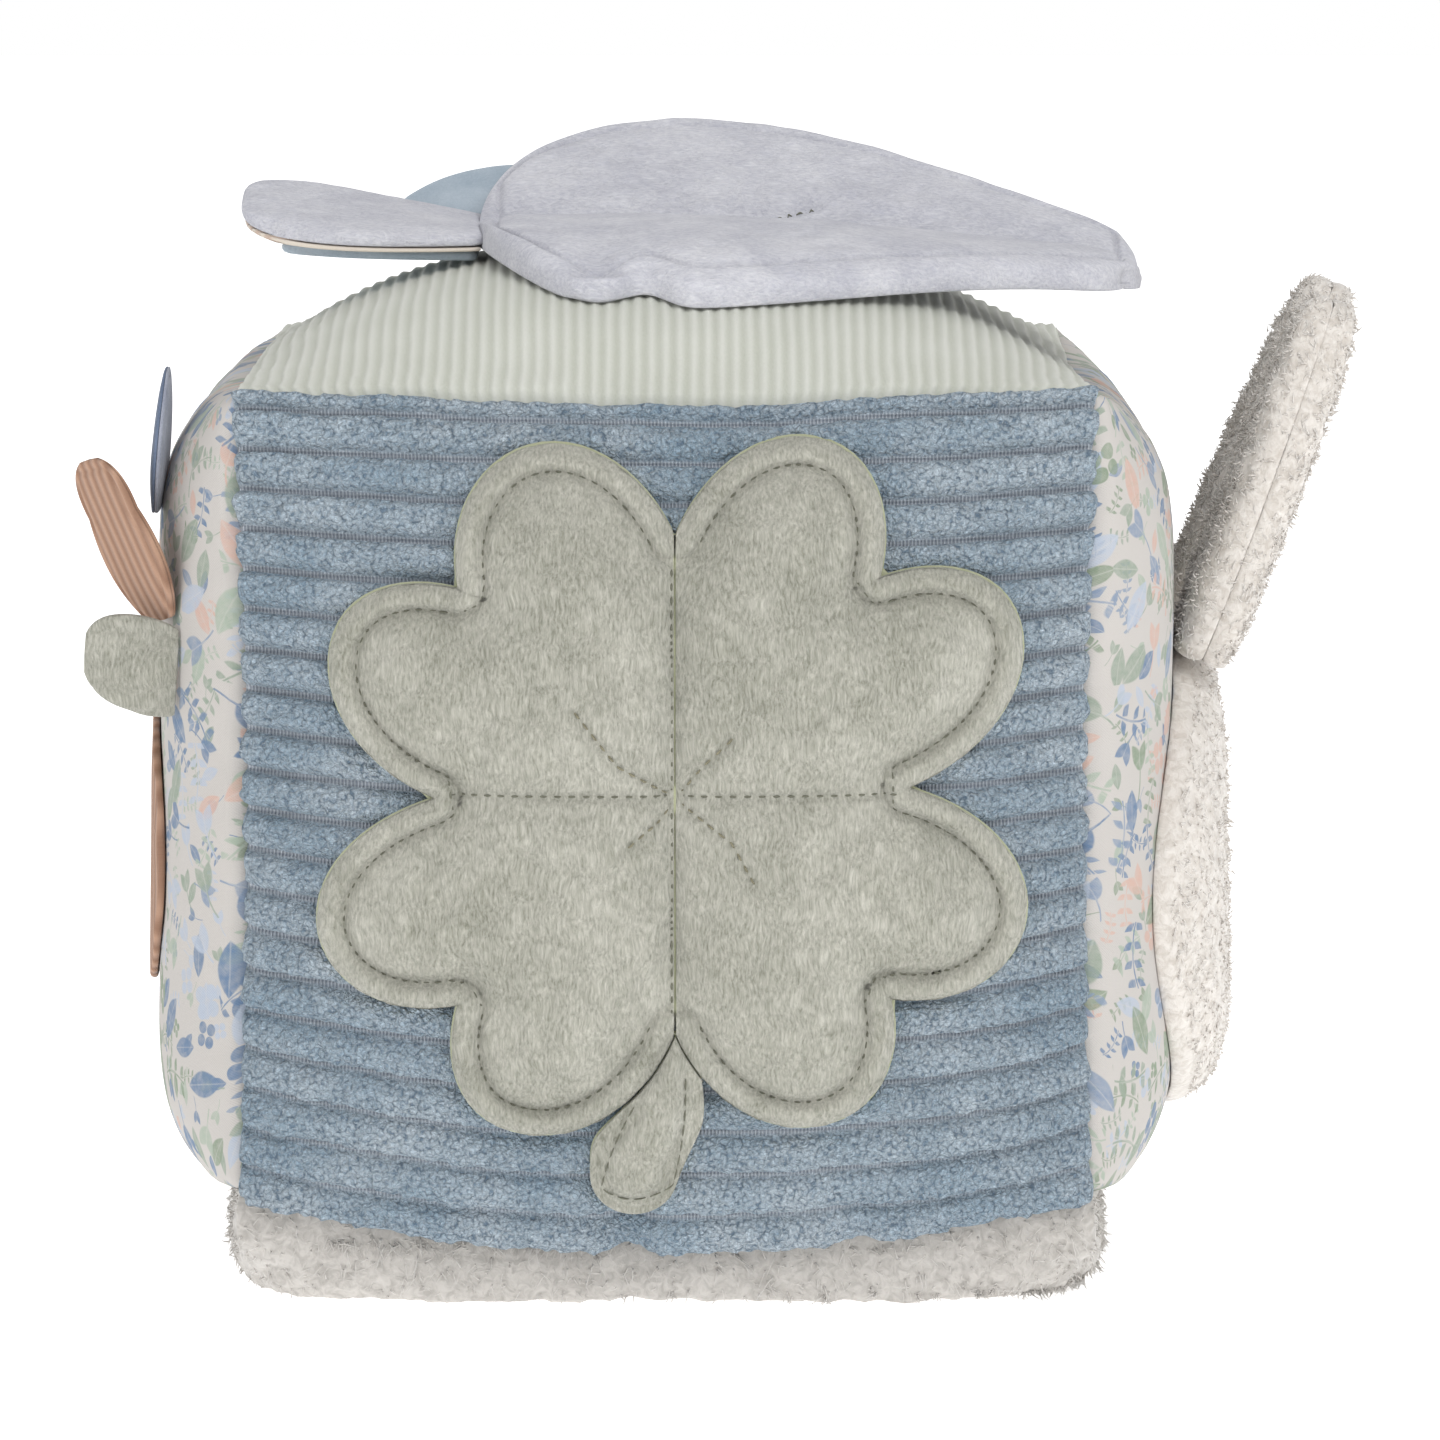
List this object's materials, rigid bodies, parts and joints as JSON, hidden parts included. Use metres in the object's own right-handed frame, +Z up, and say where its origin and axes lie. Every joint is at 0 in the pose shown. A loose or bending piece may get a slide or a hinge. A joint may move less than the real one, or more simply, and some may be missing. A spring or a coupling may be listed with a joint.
{
  "type": "fabric activity block",
  "caption": "Soft stuffed fabric cube with six cloth panels and padded flaps sewn on: a clover in front, a bird pad on top, leaf tabs at the left and a teddy head with ears at the right.",
  "frame": {"origin": "middle of the pressed-flat face that the block rests on, on the floor", "axes": "+Z up, -Y out of the face with the clover, +X to the right of a person who looks at the clover"},
  "size_m": [0.2278, 0.187, 0.1983],
  "materials": {
    "corduroy_blue": "wide-wale plush corduroy",
    "cord_sage": "fine cord",
    "print_cotton": "white cotton with a small leaf print",
    "teddy_white": "curly teddy fleece",
    "plush_sage": "short plush",
    "sage_backing": "brushed velour",
    "velvet_lavender": "short-pile velvet",
    "velvet_blue": "short-pile velvet",
    "striped_lining": "thin striped cotton",
    "rib_peach": "rib jersey",
    "filling_white": "polyester fibre filling"
  },
  "bodies": {
    "block": {"filling_core": "filling_white", "front_panel": "corduroy_blue", "back_panel": "velvet_lavender", "left_panel": "print_cotton", "right_panel": "print_cotton", "top_panel": "cord_sage", "bottom_panel": "teddy_white", "peach_patch": "rib_peach", "head_wadding": "filling_white", "head_cover": "teddy_white"},
    "clover_left": {"clover_left_cover": "plush_sage", "clover_left_wadding": "filling_white", "clover_left_backing": "sage_backing"},
    "clover_right": {"clover_right_cover": "plush_sage", "clover_right_wadding": "filling_white", "clover_right_backing": "sage_backing"},
    "clover_stem": {"clover_stem_cover": "plush_sage", "clover_stem_backing": "sage_backing"},
    "bird_front": {"bird_front_cover": "velvet_lavender", "bird_front_wadding": "filling_white", "bird_front_backing": "velvet_lavender"},
    "bird_back": {"bird_back_cover": "velvet_lavender", "bird_back_wadding": "filling_white", "bird_back_backing": "velvet_lavender"},
    "tail": {"tail_cover": "velvet_lavender", "tail_lining": "striped_lining"},
    "under_tail": {"under_tail_flap": "velvet_blue"},
    "wing": {"wing_flap": "velvet_blue"},
    "leaf_blue": {"leaf_blue_outer": "velvet_blue", "leaf_blue_inner": "velvet_blue"},
    "leaf_peach": {"leaf_peach_outer": "rib_peach", "leaf_peach_inner": "rib_peach"},
    "leaf_sage": {"leaf_sage_outer": "plush_sage", "leaf_sage_inner": "plush_sage"},
    "ear_near": {"ear_near_outer": "teddy_white", "ear_near_inner": "teddy_white"},
    "ear_far": {"ear_far_outer": "teddy_white", "ear_far_inner": "teddy_white"}
  },
  "joints": [
    {"name": "clover_left_lift", "type": "hinge", "parent": "block", "child": "clover_left", "pos_m": [0.0018, -0.09335, 0.093], "axis": [0, 0, 1], "range_deg": [0, 45], "stiffness_Nm_per_rad": 0.01},
    {"name": "clover_right_lift", "type": "hinge", "parent": "block", "child": "clover_right", "pos_m": [0.0018, -0.09335, 0.093], "axis": [0, 0, -1], "range_deg": [0, 45], "stiffness_Nm_per_rad": 0.01},
    {"name": "clover_stem_lift", "type": "hinge", "parent": "block", "child": "clover_stem", "pos_m": [0.0018, -0.09197, 0.0502], "axis": [-1, 0, 0], "range_deg": [0, 30], "stiffness_Nm_per_rad": 0.002},
    {"name": "bird_front_lift", "type": "hinge", "parent": "block", "child": "bird_front", "pos_m": [0, 0, 0.18115], "axis": [-1, 0, 0], "range_deg": [0, 50]},
    {"name": "bird_back_lift", "type": "hinge", "parent": "block", "child": "bird_back", "pos_m": [0, 0, 0.18115], "axis": [1, 0, 0], "range_deg": [-4, 35], "stiffness_Nm_per_rad": 0.05},
    {"name": "tail_lift", "type": "hinge", "parent": "block", "child": "tail", "pos_m": [-0.0347, 0, 0.18125], "axis": [0, 1, 0], "range_deg": [0, 28]},
    {"name": "under_tail_droop", "type": "hinge", "parent": "block", "child": "under_tail", "pos_m": [-0.0347, 0, 0.17795], "axis": [0, 1, 0], "range_deg": [-12, 0], "stiffness_Nm_per_rad": 0.01},
    {"name": "wing_bend", "type": "hinge", "parent": "bird_back", "child": "wing", "pos_m": [-0.023, 0.024, 0.18799], "axis": [0, 1, 0], "range_deg": [-15, 0], "stiffness_Nm_per_rad": 0.01},
    {"name": "leaf_blue_bend", "type": "hinge", "parent": "block", "child": "leaf_blue", "pos_m": [-0.08968, -0.042, 0.136], "axis": [0, -1, 0], "range_deg": [0, 30], "stiffness_Nm_per_rad": 0.005},
    {"name": "leaf_peach_bend", "type": "hinge", "parent": "block", "child": "leaf_peach", "pos_m": [-0.08827, -0.052, 0.118], "axis": [0, -1, 0], "range_deg": [-5, 60], "stiffness_Nm_per_rad": 0.005},
    {"name": "leaf_sage_bend", "type": "hinge", "parent": "block", "child": "leaf_sage", "pos_m": [-0.08562, -0.056, 0.109], "axis": [0, 0, 1], "range_deg": [-20, 40], "stiffness_Nm_per_rad": 0.005},
    {"name": "ear_near_bend", "type": "hinge", "parent": "block", "child": "ear_near", "pos_m": [0.09544, -0.022, 0.10741], "axis": [0, 1, 0], "range_deg": [-4, 55], "stiffness_Nm_per_rad": 0.014},
    {"name": "ear_far_bend", "type": "hinge", "parent": "block", "child": "ear_far", "pos_m": [0.09545, 0.022, 0.10741], "axis": [0, 1, 0], "range_deg": [-4, 55], "stiffness_Nm_per_rad": 0.014}
  ]
}
